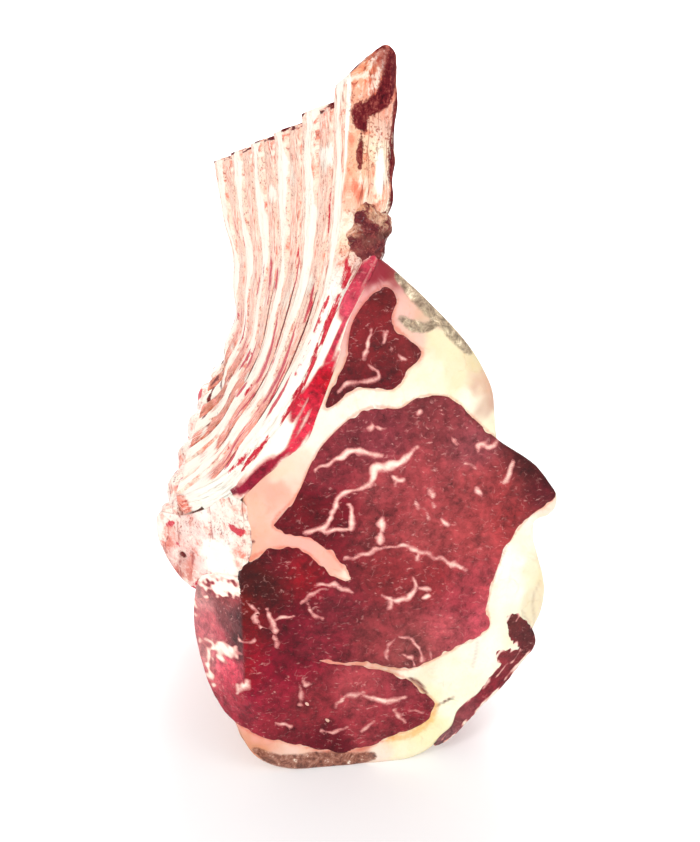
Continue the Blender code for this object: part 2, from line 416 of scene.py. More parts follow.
# The eye without the notch that the fat makes into it, turning the other way.
EYE_HULL = smooth(
    EYE_POINTS[5::-1] + EYE_POINTS[:27:-1] + [(-52, 134)] + EYE_POINTS[21:5:-1], steps=5
)
EYE_VEINS = [
    (1.2, [(-29, 137), (-25, 138.5), (-19, 140), (-15, 143.5), (-12, 150), (-11, 155),
      (-7, 158.5), (0.5, 160), (6, 161)]),
    (1.9, [(3, 160.5), (7, 164), (8.5, 171), (16, 171), (24, 175), (30.5, 180.5)]),
    (1.5, [(-22, 171), (-12, 175), (-7, 178.5), (-2, 181), (3, 179), (12, 177)]),
    (1.5, [(-5, 151.5), (-3, 144), (-3.5, 138)]), (1.0, [(-3, 138), (-12.5, 138), (-19, 139)]),
    (0.9, [(-7, 122.5), (0.5, 123), (6, 126), (14, 128)]),
    (0.9, [(16, 127), (22, 128.5), (27, 127.5), (32.5, 124.5), (38, 122.5), (44, 120)]),
    (0.8, [(43, 120.5), (50, 117), (58, 112.5)]), (0.7, [(32.5, 125), (31.5, 119.5)]),
    (1.3, [(13, 100.5), (18, 97.5), (25, 98), (28.5, 101), (31, 104.5), (29.5, 110)]),
    (0.9, [(31, 103.5), (39, 102)]), (1.2, [(17.5, 99), (17.2, 94)]), (1.2, [(35, 98.5), (38, 98.5)]),
    (0.5, [(22.5, 76.5), (29, 74), (33.5, 68.5), (36, 61.5)]),
    (0.4, [(25.5, 66), (29.5, 63), (31, 58.5)]), (0.5, [(20, 76), (16.5, 72), (15.5, 66), (17, 62)]),
    (0.4, [(39, 67), (40.5, 62)]),
    (0.8, [(-58, 101.5), (-54, 96.5), (-54, 91), (-49, 85), (-44, 80), (-43, 75.5), (-46, 71.5)]),
    (1.1, [(-47.5, 97), (-45.5, 90.5), (-44, 84.5), (-43.5, 79)]),
    (0.6, [(-44, 90), (-38.5, 92), (-34, 92)]), (0.5, [(-30, 98.5), (-25.5, 103), (-17.5, 106.5)]),
    (0.6, [(-26.5, 98.5), (-24, 92.5), (-18, 89.5)]),
    (0.9, [(-23, 109), (-15, 108.5), (-7, 105.5), (-3.5, 103.5)]),
    (1.5, [(77, 159.5), (79.5, 163), (81.5, 168), (81.5, 172)]),
    (1.1, [(62, 177.5), (64.5, 181.5), (69.5, 180.5), (73, 182.5)]),
    (1.3, [(17.5, 165.5), (20, 164), (23, 163)]), (2.0, [(12, 143), (12.4, 138.5)]),
    (1.8, [(11.6, 135.8), (11, 131)]), (0.9, [(20.5, 166), (20, 161.5)]),
    (0.9, [(37.5, 158), (40, 153.5)]), (1.1, [(40, 150.5), (40.5, 149.5)]),
    (1.0, [(62.5, 157.5), (65, 153.5)]), (1.0, [(6.5, 194.5), (6.5, 191)]),
    (1.1, [(31.5, 201), (31, 197.5)]), (0.5, [(8, 192), (14, 191.5)]),
    (1.0, [(44.5, 141), (48, 138)]), (0.6, [(30, 153), (32, 148)]), (0.5, [(34, 148), (38, 142)]),
    (0.5, [(57, 172), (62, 168)]), (0.5, [(48, 186), (52, 182)]),
]  # fmt: skip
EYE_COLOURS = [
    ((10, 185), (140, 58, 66)), ((40, 195), (134, 58, 62)), ((60, 180), (160, 76, 82)),
    ((88, 168), (104, 44, 46)), ((99, 156), (98, 36, 42)), ((80, 158), (170, 66, 68)),
    ((60, 158), (178, 74, 76)), ((35, 165), (170, 70, 74)), ((10, 160), (162, 68, 72)),
    ((-15, 168), (140, 52, 60)), ((-25, 150), (112, 26, 38)), ((-12, 148), (122, 28, 40)),
    ((10, 140), (154, 60, 64)), ((35, 135), (170, 72, 74)), ((62, 130), (182, 74, 76)),
    ((82, 140), (170, 62, 64)), ((64, 105), (186, 72, 80)), ((40, 108), (144, 50, 54)),
    ((15, 112), (142, 50, 54)), ((-10, 95), (136, 46, 56)), ((-30, 114), (150, 24, 40)),
    ((-42, 120), (124, 30, 42)), ((-50, 112), (72, 20, 28)), ((-56, 112), (80, 20, 28)),
    ((-52, 100), (92, 26, 36)), ((-61, 98), (138, 6, 26)), ((-60, 88), (148, 4, 26)),
    ((-52, 88), (132, 28, 42)), ((-38, 88), (122, 32, 46)), ((-20, 76), (140, 44, 56)),
    ((10, 80), (152, 62, 66)), ((30, 68), (150, 72, 72)), ((50, 80), (190, 84, 90)),
    ((66, 82), (206, 84, 96)), ((56, 94), (168, 62, 72)),
]  # fmt: skip


def lean_paint(wire, at, mark):
    """Lean cut across its bundles: soft lighter and darker cells a few millimetres wide, fine
    grain, thin creases darkened as painted shade, small pale pink flecks of fat that also stand
    in for small wet glints as painted highlights, the drawn veins with frayed borders, a pale skin
    in streaks where the outside shows, and darker dried places."""
    tone, vein, dry, film = mark("tone", True), mark("vein"), mark("dry"), mark("film")
    push = wire.node("TexNoise", output=1, Vector=at, Scale=0.2, Detail=2.0)
    warped = at.plus(push.scaled(4.0))
    cloud = at.noise(0.06, 3.0, 0.55)
    fields = at.noise(0.14, 3.0, 0.6)
    lumps = warped.noise(0.30, 3.0, 0.6)
    grain = warped.noise(0.9, 4.0, 0.65)
    bundles = warped.cells(0.34, "DISTANCE_TO_EDGE")
    patch = at.noise(0.34, 2.0, 0.5)
    # Painted shade: thin crease lines, darker in the colour only.
    shaded_crease = warped.noise(0.13, 3.0, 0.6).thin(0.5, 0.018) * (1 - patch).step(0.42, 0.56)
    light = 0.24 + cloud.step(0.35, 0.65) * 0.34 + fields.step(0.32, 0.68) * 0.34
    light = light + lumps.step(0.34, 0.66) * 0.34 + grain.step(0.3, 0.7) * 0.18 - shaded_crease * 0.2
    meat = tone.scaled(light)
    drawn = warped.node("VectorMath", {"operation": "MULTIPLY"}, _0=warped, _1=(0.5, 1.0, 1.25))
    # Pale pink dashes: flecks of fat, and painted highlights that stand in for small wet glints.
    dash = drawn.noise(0.50, 3.0, 0.6).step(0.58, 0.76) * (0.16 + cloud.step(0.38, 0.62) * 0.6)
    hair = warped.noise(0.085, 2.0, 0.45).thin(0.5, 0.010) * patch.step(0.50, 0.62) * 0.24
    flecked = meat.towards((0.74, 0.33, 0.30), dash.math("MAXIMUM", hair))
    ragged = vein - 0.15 + (lumps - 0.5) * 1.1 + (grain - 0.5) * 1.2
    share = ragged.step(0.75, -0.35)
    core = ((ragged + 2.4) / 2.8).ramp(
        (0.0, (0.97, 0.88, 0.76)), (0.42, (0.90, 0.60, 0.50)), (0.8, (0.60, 0.20, 0.19))
    )
    veined = core.over(flecked, share)
    thread = at.node("VectorMath", {"operation": "MULTIPLY"}, _0=at, _1=(1.0, 0.13, 1.0))
    skinned = (thread.noise(0.24, 4.0, 0.62) + film * 0.34 - 0.34).step(0.42, 0.62)
    pale = wire.node("Mix", {"data_type": "RGBA"}, 2, _0=grain, _6=(0.74, 0.36, 0.33, 1),
                     _7=(0.94, 0.72, 0.62, 1))
    covered = pale.over(veined, skinned * film * 0.85)
    colour = covered.tinted((0.46, 0.36, 0.34), dry * 0.75)
    height = grain * 0.18 + lumps * 0.40 + fields * 0.5 + bundles.step(0.0, 0.22) * 0.16 + share * 0.3
    rough = 0.38 + grain * 0.22 + dry * 0.2
    return colour, rough, height, 0.7


def lean_height(x, z, inside, high, seed):
    """How far the lean of a muscle stands out of the fat around it, by the distance inside its
    border: it dips under the fat outside, and swells in low uneven cushions."""
    ragged = inside + 0.7 * waves(x, z, 11, seed) + 0.22 * waves(x, z, 4.6, seed + 1)
    cushions = 0.16 * waves(x, z, 11, seed + 2) + 0.09 * waves(x, z, 4.5, seed + 3)
    return np.clip(0.75 * ragged, -1.6, high) + cushions * np.clip(ragged / 3, 0, 1)


def chance_veins(seed, low, high, count):
    """Curved lines at chance places of a section box, each turning slowly as it goes."""
    chance = np.random.default_rng(seed)
    veins = []
    for _ in range(count):
        turn = chance.uniform(0, 6.28) + np.cumsum(chance.normal(0, 0.55, chance.integers(3, 7)))
        steps = 6.5 * np.column_stack([np.cos(turn), np.sin(turn)])
        veins.append((chance.uniform(0.4, 1.2), chance.uniform(low, high) + np.cumsum(steps, axis=0)))
    return veins


def muscle(name, x, z, border, veins, back_veins, high, seed, runs=(0.5,), bulge=None):
    """A muscle that runs through the roast, with its height and veins at both cuts."""
    up = lean_height(x, z, inside_by(x, z, border), high, seed)
    front, back = front_cut(x, z) - up, back_cut(x, z) + up
    piece, sx, sz, deep, side = through_piece(name, x, z, front, back, runs, bulge)
    vein = np.full(len(sx), NO_VEIN)
    for cut, lines in ((side == 0, veins), (side == 2, back_veins)):
        x, z = sx[cut], sz[cut]
        x, z = x + 0.5 * waves(x, z, 8, 91), z + 0.5 * waves(x, z, 8, 92)
        scraps = 0.9 * waves(x, z, 4.5, 94) * (x < FOLD_X)
        vein[cut] = off_lines(x, z, lines) + 0.35 * waves(x, z, 5, 93) + scraps
    return piece, sx, sz, deep, side, vein


x, z = disc_grid(EYE_HULL[::-1], (10, 130), 176)
eye, sx, sz, _, side, vein = muscle(
    "eye_lean", x, z, EYE, EYE_VEINS, chance_veins(9, (-50, 70), (90, 200), 34), 0.6, 21,
    np.linspace(0.02, 0.98, 24),
)
give(
    eye,
    tone=tones(sx, sz, EYE_COLOURS, 7.0),
    vein=vein,
    dry=np.clip(
        spot(sx, sz, (96, 168), (14, 12)) + 0.5 * (side == 1)
        + 0.9 * np.exp(-((inside_by(sx, sz, EYE) / 2.2) ** 2)) * (sx > 55) * (sz > 150), 0, 1),
    film=0.4 * (side == 1),
)
finish(eye, "eye_lean", lean_paint, coat=0.08, flesh=0.08, shine=0.15)
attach(eye, "root")
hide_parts("eye_muscle")

# ---------------------------------------------------------------------------------------------
# The lower muscle, with the left side of the roast on it. The cut turns back over its fold there,
# into a paler face with white scraps of fat on it; that face is paler partly as painted light, for
# the light from the left that it turns towards.

LOWER = smooth(
    [
        (-36, 94), (-29, 76), (-24, 67), (-14, 63), (2, 60.5), (15, 56), (27, 51), (38, 41),
        (43, 34), (38, 24), (22, 17), (-8, 9), (-38, 18), (-61, 25), (-74, 32), (-84, 54),
        (-88, 79), (-82, 106), (-60, 114), (-48, 106),
    ], steps=5
)  # fmt: skip
LOWER_VEINS = [
    (0.9, [(-12.5, 37), (-9, 42), (-7, 44), (-2, 43.5), (3.5, 44.5)]),
    (1.2, [(2, 43.5), (7.5, 41), (14.5, 38.5), (20.5, 39.5), (26, 40.5)]),
    (0.9, [(-31.5, 52), (-30, 47), (-31.5, 41)]), (0.7, [(-30.5, 57), (-27.5, 51.5)]),
    (0.9, [(20, 33), (23, 29), (25.5, 25)]), (0.5, [(27.5, 32), (37, 30)]),
    (0.6, [(-44, 30), (-36, 28)]), (0.5, [(-20, 24), (-12, 22), (-6, 25)]), (0.5, [(2, 22), (8, 26)]),
    (2.0, [(-65.5, 49), (-62, 52), (-58.5, 56)]), (1.7, [(-86, 66), (-81, 66.5)]),
    (3.6, [(-79, 69), (-74, 67.5), (-69, 69.5), (-64.5, 71.5)]),
    (1.8, [(-77, 67), (-80, 60), (-80, 52), (-78, 45)]), (1.3, [(-74, 66), (-72.5, 61)]),
    (1.0, [(-87, 90), (-85.5, 82)]), (0.5, [(-63, 80), (-59, 79), (-54, 80)]),
]  # fmt: skip
LOWER_COLOURS = [
    ((0, 46), (176, 72, 78)), ((25, 40), (150, 58, 66)), ((30, 28), (150, 50, 60)),
    ((-25, 40), (152, 52, 60)), ((5, 22), (166, 62, 70)), ((-15, 14), (104, 30, 40)),
    ((-45, 26), (140, 44, 54)), ((-66, 40), (184, 60, 76)), ((-64, 28), (158, 48, 62)),
    ((-48, 50), (142, 42, 54)), ((-40, 70), (132, 34, 48)), ((-50, 62), (136, 34, 48)),
    ((-48, 90), (96, 26, 38)), ((-56, 108), (66, 18, 28)), ((-60, 96), (126, 0, 32)),
    ((-58, 84), (146, 0, 40)), ((-57, 70), (158, 0, 46)), ((-55, 58), (146, 10, 46)),
    ((-60, 62), (166, 0, 44)), ((-60, 108), (78, 12, 30)),
]  # fmt: skip
# Colours of the turned face: its own scraps and patches, made paler in part as painted light on a face
# turned to the left.
FACET_COLOURS = [
    ((-88, 105), (214, 150, 144)), ((-76, 103), (170, 60, 70)), ((-66, 106), (150, 60, 66)),
    ((-70, 98), (176, 84, 86)), ((-80, 92), (206, 130, 130)), ((-71, 91), (134, 72, 74)),
    ((-64, 92), (96, 50, 54)), ((-64, 80), (104, 56, 58)), ((-65, 72), (112, 52, 58)),
    ((-70, 84), (126, 66, 70)), ((-77, 82), (216, 104, 112)), ((-84, 78), (220, 120, 126)),
    ((-72, 77), (186, 80, 90)), ((-80, 72), (222, 120, 126)), ((-73, 60), (246, 104, 120)),
    ((-66, 60), (236, 84, 104)), ((-70, 50), (206, 70, 88)), ((-80, 60), (226, 150, 148)),
    ((-77, 46), (220, 110, 116)), ((-71, 38), (200, 62, 78)), ((-84, 92), (226, 160, 156)),
    ((-64, 46), (170, 50, 62)),
]  # fmt: skip
x, z = disc_grid(LOWER[::-1], (-45, 62), 150)


def lower_bulge(x, z, depth, edge):
    """The outside of the roast: folds and dents along it under a thin skin."""
    folds = -0.9 + 0.9 * waves(depth, z, 34, 31) + 0.4 * waves(depth, z, 12, 32)
    return np.where(x < -58, np.clip(edge / 3, 0, 1) * np.minimum(folds, 0.2), 0.0)


lower, sx, sz, _, side, vein = muscle(
    "lower_lean", x, z, LOWER, LOWER_VEINS, chance_veins(5, (-70, 15), (20, 90), 12), 0.42, 41,
    np.linspace(0.01, 0.99, 46), lower_bulge,
)
top = (side == 0) * (sx < FOLD_X) * np.clip((sz - 90 - 0.4 * (sx + 84)) / 8, 0, 1)
scraps = 4.2 - 5.0 * top - 2.4 * slope(sz, 100, 5)
scraps = scraps + 2.4 * waves(sx, sz, 9, 96) + 1.3 * waves(sx, sz, 4, 97)
vein = np.where(top > 0, np.minimum(vein, scraps), vein)
turned = (np.clip((FOLD_X + 0.5 - sx) / 0.8, 0, 1) * slope(sz, 34, 18))[:, None]
tone = tones(sx, sz, LOWER_COLOURS, 4.5)
give(
    lower,
    tone=tone + turned * (tones(sx, sz, FACET_COLOURS, 3.5) - tone),
    vein=vein,
    dry=0.25 * (side == 1),
    film=0.9 * (side == 1) + 0.25 * (sx < FOLD_X) * (side == 0),
)
finish(lower, "lower_lean", lean_paint, coat=0.08, flesh=0.08, shine=0.15)
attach(lower, "root")
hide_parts("lower_muscle")

# ---------------------------------------------------------------------------------------------
# The three-cornered muscle at the outer side of the ribs. It is dark and fine-grained, and a few
# thin veins of fat cross it.

RIB_END = smooth(
    [
        (13, 262), (19, 256), (17, 244), (32, 230), (26, 221), (18, 211), (0, 212), (-16, 202),
        (-13, 213), (-6, 226), (-3, 243), (4, 255),
    ], steps=5
)  # fmt: skip
x, z = disc_grid(RIB_END[::-1], (5, 228), 84)
rib_end, sx, sz, _, _, vein = muscle(
    "rib_end_lean", x, z, RIB_END,
    [
        (0.8, [(6.5, 241), (5.5, 235.5), (4, 230.5), (2.5, 226.5)]),
        (0.9, [(5.5, 224), (9, 220.5), (10.5, 217.5), (8, 216), (0.5, 215.5)]),
        (0.8, [(2, 215.5), (-4.5, 214.5), (-9.5, 211)]),
        (0.5, [(14, 240), (12, 236)]),
        (0.6, [(20, 228), (24, 226)]),
    ],
    chance_veins(6, (-10, 205), (25, 255), 5), 0.5, 51,
)
give(
    rib_end,
    tone=tones(sx, sz, [
        ((5, 228), (132, 40, 44)), ((12, 258), (112, 32, 34)), ((25, 228), (126, 44, 46)),
        ((-8, 212), (120, 34, 42)), ((12, 215), (120, 30, 38)), ((2, 245), (140, 40, 46)),
    ]),
    vein=vein,
    dry=0.2 + 0 * sx,
    film=0 * sx,
)
finish(rib_end, "rib_end_lean", lean_paint, coat=0.1, flesh=0.1)
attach(rib_end, "root")
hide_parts("rib_end_muscle")

# ---------------------------------------------------------------------------------------------
# The thin layer of lean on the outer side of the ribs. Bright red tongues of it lie between sheets
# of fat, wide near the eye and thin towards the top.

RIB_INNER = smooth(
    [
        (-98, 143.5), (-84, 153), (-70, 165), (-58.5, 180), (-47, 194.5), (-36, 211.5),
        (-25, 232), (-15.5, 256), (-10, 281), (-6.5, 306), (-5, 330), (-4, 346), (-4, 353),
    ], closed=False, steps=24
)  # fmt: skip
RIB_OUTER = smooth(
    [
        (-92, 133), (-77.5, 144), (-63, 158), (-52, 173), (-40, 188.5), (-28, 206.5),
        (-16.5, 228.5), (-5.5, 253), (12, 279), (20, 306), (21, 329), (22, 346), (22, 353),
    ], closed=False, steps=24
)  # fmt: skip
SIDE_OUTER = smooth(
    [(-61, 155.5), (-47, 168.5), (-28, 183), (-19.5, 202), (-11, 224), (-1.5, 250), (10, 275)],
    closed=False, steps=24,
)
SIDE_INNER = RIB_OUTER[48:193] + 0.3 * (RIB_INNER - RIB_OUTER)[48:193]
SIDE_TONGUES = [
    (4.2, [(9, 279), (5, 272), (1, 265), (-3, 257.5), (-8, 246)]),
    (2.8, [(-7, 246), (-11, 236), (-14, 227)]),
    (1.4, [(-10, 250), (-15, 238), (-19, 228)]),
    (5.4, [(-9.5, 230), (-13, 220), (-18, 209), (-22, 199), (-29, 188.5), (-38.5, 178.5)]),
    (1.2, [(-20, 222), (-26, 209), (-33, 196)]),
    (3.8, [(-34, 184), (-41, 177.5), (-48, 171.5), (-56, 164.5), (-66, 158)]),
]
SIDE_COLOURS = [
    ((0, 265), (190, 62, 80)), ((-6, 250), (222, 82, 102)), ((-12, 232), (236, 74, 96)),
    ((-13, 217), (220, 16, 40)), ((-20, 203), (232, 50, 72)), ((-30, 188), (238, 62, 84)),
    ((-44, 174), (160, 36, 56)), ((-62, 160), (140, 36, 56)),
]  # fmt: skip


def between_curves(first, last, rows):
    """Rows of section points from one curve to another, and the share of the way of each row."""
    share = np.linspace(0, 1, rows)[:, None]
    x, z = (first[:, k] + share * (last[:, k] - first[:, k]) for k in (0, 1))
    return x, z, share


x, z, share = between_curves(SIDE_OUTER, SIDE_INNER, 15)
x, z = x[::-1], z[::-1]
flat = front_cut(x, z) + 0.1 + 1.5 * slope(share[::-1], 0.7, 0.3) ** 2
side_lean, sx, sz, _, side = through_piece(
    "rib_side_lean", x, z, flat - 0.5 * np.clip(-off_lines(x, z, SIDE_TONGUES), -1, 0.8),
    back_cut(x, z) + 0.2, np.linspace(0.02, 0.98, 40),
)
along = 0.45 * sx + 0.89 * sz
give(
    side_lean,
    tone=tones(sx, sz, SIDE_COLOURS),
    vein=-off_lines(sx, sz, SIDE_TONGUES) - 0.5
    + 2.6 * waves(along * 0.16, 1.1 * (sx - 0.5 * sz), 7, 64) * np.clip((sz - 176) / 10, 0.3, 1),
    dry=0 * sx,
    film=0.3 * (side == 1),
)
finish(side_lean, "rib_side_lean", lean_paint, coat=0.08, flesh=0.08, shine=0.15)
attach(side_lean, "root")
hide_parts("rib_side_muscle")

# ---------------------------------------------------------------------------------------------
# The thin dark strip of lean in the fat at the lower right, widest near its top. Its outside
# lies bare along the roast, dried and a little wrinkled.

STRIP_OUTER = smooth(
    [(43.5, 8), (51, 10), (60, 18.5), (68, 28), (80, 40), (91, 54), (99.5, 66), (96.5, 77), (89, 86)],
    closed=False, steps=16,
)
STRIP_INNER = smooth(
    [(44, 9.5), (47, 14), (53, 20), (56, 29), (62, 35), (68.5, 39.5), (73.5, 53), (75.5, 64), (78, 88)],
    closed=False, steps=16,
)
STRIP_LEAN = [
    (6.6, [(85, 82.5), (88.5, 77), (94, 70), (98, 64)]),
    (4.6, [(79, 63), (83, 59.5), (92, 60)]),
    (4.4, [(91, 58), (83, 52), (77, 45), (70, 37)]),
    (5.6, [(75, 43), (66, 33), (58.5, 25.5), (51.5, 18), (45, 10)]),
]
x, z, _ = between_curves(STRIP_INNER, STRIP_OUTER, 22)
lean = -off_lines(x, z, STRIP_LEAN) + 0.7 * waves(x, z, 5, 61)


def strip_bulge(x, z, depth, edge):
    """The dried outside of the strip: shallow wrinkles along the roast."""
    return np.clip(edge / 3, 0, 1) * np.minimum(-0.5 + 0.5 * waves(depth, x + z, 13, 62), 0)


strip, sx, sz, _, side = through_piece(
    "cap_strip_lean", x, z, front_cut(x, z) - 0.4 * np.clip(lean, -1.2, 0.6),
    back_cut(x, z) + 0.4 * np.clip(lean, -1.2, 0.6), np.linspace(0.005, 0.995, 90), strip_bulge,
)
give(
    strip,
    tone=tones(sx, sz, [
        ((84, 80), (110, 50, 48)), ((93, 70), (96, 40, 42)), ((80, 62), (166, 60, 68)),
        ((72, 44), (156, 44, 58)), ((58, 26), (150, 70, 76)), ((48, 15), (160, 110, 114)),
    ]),
    vein=-off_lines(sx, sz, STRIP_LEAN) + 0.2
    + np.where(side == 1, 0, 1.2 * waves(sx, sz, 7, 61)
               + 1.5 * waves(0.3 * (sx + sz), 1.2 * (sx - sz), 5, 63)),
    dry=0.35 + 0.3 * (side == 1),
    film=0.5 * (side == 1),
)
finish(strip, "cap_strip_lean", lean_paint, coat=0.1, flesh=0.1)
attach(strip, "root")
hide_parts("cap_strip_muscle")

# ---------------------------------------------------------------------------------------------
# The fat. One mass of firm cream fat runs from the cut face at the front to the one at the back
# and holds every muscle, so it shows as the seams between them and as the cap outside. Its
# skin side at the top right and the bottom has dried to a grey-brown rind.

FAT_SIDE = [
    (13, 274.5), (35, 255.5), (57.5, 232.5), (69.5, 211.5), (73, 188), (76, 178), (90, 166),
    (98, 158.5), (107, 153.5), (108, 145), (104, 140), (97, 137), (96, 128), (98.5, 119),
    (103.5, 100), (103, 86), (97, 71), (88, 57), (77, 45), (65, 32), (54, 17), (43, 7),
    (31, 1.2), (16, 0.1), (-10, 0), (-30, 0.2), (-43, 2.5), (-57, 10), (-65, 24), (-69, 34),
    (-79, 55), (-83, 80), (-78, 100), (-62, 115), (-57, 130), (-58, 145), (-58, 160),
    (-49, 172.5), (-34, 186), (-24, 204), (-13.5, 226), (-3.5, 251.5), (8, 274),
]  # fmt: skip
# The tan spots at (66, 213) and (71, 203), by the top right rim, are painted shade along the rim.
FAT_COLOURS = [
    ((80, 115), (255, 252, 240)), ((97, 108), (240, 230, 200)), ((90, 133), (252, 247, 228)),
    ((100, 92), (232, 218, 186)), ((86, 100), (254, 250, 232)), ((52, 47), (252, 244, 222)),
    ((66, 68), (254, 249, 232)), ((40, 56), (252, 240, 220)), ((13, 273), (140, 44, 54)),
    ((9, 268), (148, 44, 56)), ((18, 268), (150, 60, 62)), ((14, 260), (232, 184, 176)),
    ((24, 252), (238, 190, 176)), ((33, 244), (222, 190, 170)), ((27, 236), (240, 196, 180)),
    ((40, 238), (246, 228, 190)), ((48, 230), (246, 228, 192)), ((50, 218), (248, 230, 196)),
    ((60, 224), (226, 210, 172)), ((66, 213), (218, 180, 160)), ((71, 203), (206, 170, 150)),
    ((71, 190), (244, 236, 206)), ((38, 218), (254, 246, 222)), ((56, 205), (254, 248, 226)),
    ((3, 258), (228, 160, 156)), ((7, 250), (236, 176, 168)), ((-18, 190), (253, 242, 228)),
    ((5, 205), (254, 245, 232)), ((26, 206), (254, 246, 230)), ((-36, 172), (252, 220, 200)),
    ((-52, 152), (250, 190, 168)), ((-44, 158), (248, 176, 156)), ((-31, 133), (247, 178, 164)),
    ((-14, 120), (248, 184, 168)), ((-5, 110), (254, 228, 208)), ((-56, 130), (242, 182, 158)),
    ((-56, 118), (226, 160, 142)), ((-40, 146), (248, 192, 174)), ((-10, 62), (244, 190, 178)),
    ((5, 59), (236, 196, 178)), ((18, 58), (226, 196, 172)), ((28, 55), (252, 240, 220)),
    ((-53, 24), (240, 170, 156)), ((-35, 17), (246, 206, 190)), ((-18, 12), (236, 180, 164)),
    ((0, 12), (226, 160, 138)), ((12, 8), (252, 232, 214)), ((26, 10), (254, 246, 214)),
    ((40, 18), (254, 248, 212)), ((36, 27), (252, 226, 160)), ((48, 32), (255, 251, 226)),
    ((-58, 14), (226, 154, 118)), ((-46, 3), (236, 196, 176)), ((103, 148), (250, 222, 204)),
]  # fmt: skip
RIND = [
    (3.6, [(20, 267), (28, 260), (37, 251.5), (46, 242)]),
    (2.0, [(43, 243), (51, 236), (57, 230)]),
    (1.6, [(21, 247), (27, 243), (34, 242), (39, 244)]),
    (4.4, [(-55, 13), (-44, 7.5), (-30, 5.5), (-14, 4.5), (-2, 4), (8, 5)]),
]
AMBER = [(0.8, [(16, 14), (28, 16), (36.5, 20.5), (42, 27), (44, 34)])]
CRACKS = [
    (0.4, [(29, 51.5), (33, 48.5), (36.5, 44), (38, 40)]), (0.05, [(45, 33), (47, 35), (53, 37.5)]),
    (0.3, [(-60, 137), (-58.5, 133), (-57, 129)]), (0.2, [(-58, 132), (-54, 134)]),
]
CAP_CREASES = [
    (0.1, [(100, 103.5), (97.5, 96), (97, 89.5), (98.5, 81), (99, 75), (101, 70)]),
    (0.1, [(91.5, 86.5), (93.5, 82), (96, 78.5)]),
    (0.1, [(94.5, 134.5), (97, 127), (99, 120), (100.5, 111)]),
    (0.3, [(66, 72), (65.5, 63), (64, 55.5)]),
]


def fat_paint(wire, at, mark):
    """Cream lobes a few millimetres wide with soft creases between, rosy where they lie on lean,
    amber or cracked in places and, where the skin side has dried, under a blotched rind. Painted
    shade darkens the creases and each lobe towards its edge, and the soft yellow patches are partly
    the fat's own colour and partly painted shade."""
    tone, rind, rosy = mark("tone", True), mark("rind"), mark("rosy")
    amber, crack = mark("amber"), mark("crack")
    warped = at.plus(wire.node("TexNoise", output=1, Vector=at, Scale=0.09, Detail=3.0).scaled(9.0))
    soft = at.noise(0.045, 3.0, 0.55)
    patch = at.noise(0.10, 3.0, 0.6)
    fine = warped.noise(0.6, 4.0, 0.65)
    lobes = warped.cells(0.085, "SMOOTH_F1")
    shaded_crease = warped.cells(0.075, "DISTANCE_TO_EDGE").step(0.07, 0.0) * patch.step(0.48, 0.66) * 0.6
    flush = (rosy + (patch - 0.5) * 0.8 + (fine - 0.5) * 0.4).step(0.34, 0.95)
    blush = tone.tinted((0.95, 0.60, 0.55), flush)
    # Soft yellow patches: partly the fat's own colour, partly painted shade.
    sallow = soft.step(0.42, 0.72) * 0.5 + fine.step(0.45, 0.75) * 0.22
    yellow = blush.tinted((0.95, 0.86, 0.66), sallow)
    # Painted shade: duller in the creases and towards the edges of the lobes.
    dull = yellow.tinted((0.74, 0.60, 0.44), shaded_crease * 0.26 + lobes.step(0.35, 0.9) * 0.16)
    gold = (amber + (fine - 0.5) * 0.5 + (patch - 0.5)).step(0.3, 1.1) * 0.72
    honey = dull.towards((0.84, 0.42, 0.12), gold)
    blotch = (at.noise(0.16, 5.0, 0.7) + rind * 0.9 - 0.75).step(0.12, 0.56)
    low = wire.node("SeparateXYZ", output=2, Vector=at).step(120, 90)
    crust = warped.noise(0.34, 5.0, 0.7).ramp(
        (0.34, linear((62, 28, 22))), (0.48, linear((130, 72, 56))),
        (0.62, linear((170, 118, 98))), (0.70, linear((246, 232, 216))),
    )  # fmt: skip
    moss = warped.noise(0.24, 5.0, 0.7).ramp(
        (0.32, linear((86, 68, 54))), (0.46, linear((140, 122, 100))),
        (0.58, linear((188, 168, 140))), (0.68, linear((244, 230, 200))),
    )  # fmt: skip
    dried = crust.over(moss, low).over(honey, blotch * 0.92)
    colour = dried.towards((0.20, 0.035, 0.03), crack)
    height = lobes * 0.5 + soft * 0.8 + fine * 0.22 - blotch * 0.2 - shaded_crease * 0.35 - crack * 0.8
    rough = 0.40 + fine * 0.2 + blotch * 0.2
    return colour, rough, height, 1.2


x, z = disc_grid(smooth(FAT_SIDE, steps=6), (5, 130), 150)
edge = inside_by(x, z, smooth(FAT_SIDE, steps=3))
rounding = 2.0 * np.clip(1 - edge / 3.5, 0, 1) ** 2
runs = [0.002, 0.005, 0.01, 0.017, *np.linspace(0.028, 0.972, 62), 0.983, 0.99, 0.995, 0.998]


def fat_bulge(x, z, depth, edge):
    """The cap's skin side: rounded at its two rims, low humps and shallow knife marks."""
    standing = z > 1.0
    humps = -0.5 + 0.6 * waves(depth, x + z, 55, 11) + 0.35 * waves(depth, x - z, 16, 12)
    return np.where(standing, np.clip(edge / 4, 0, 1) * np.minimum(humps, 0.0), 0.0)


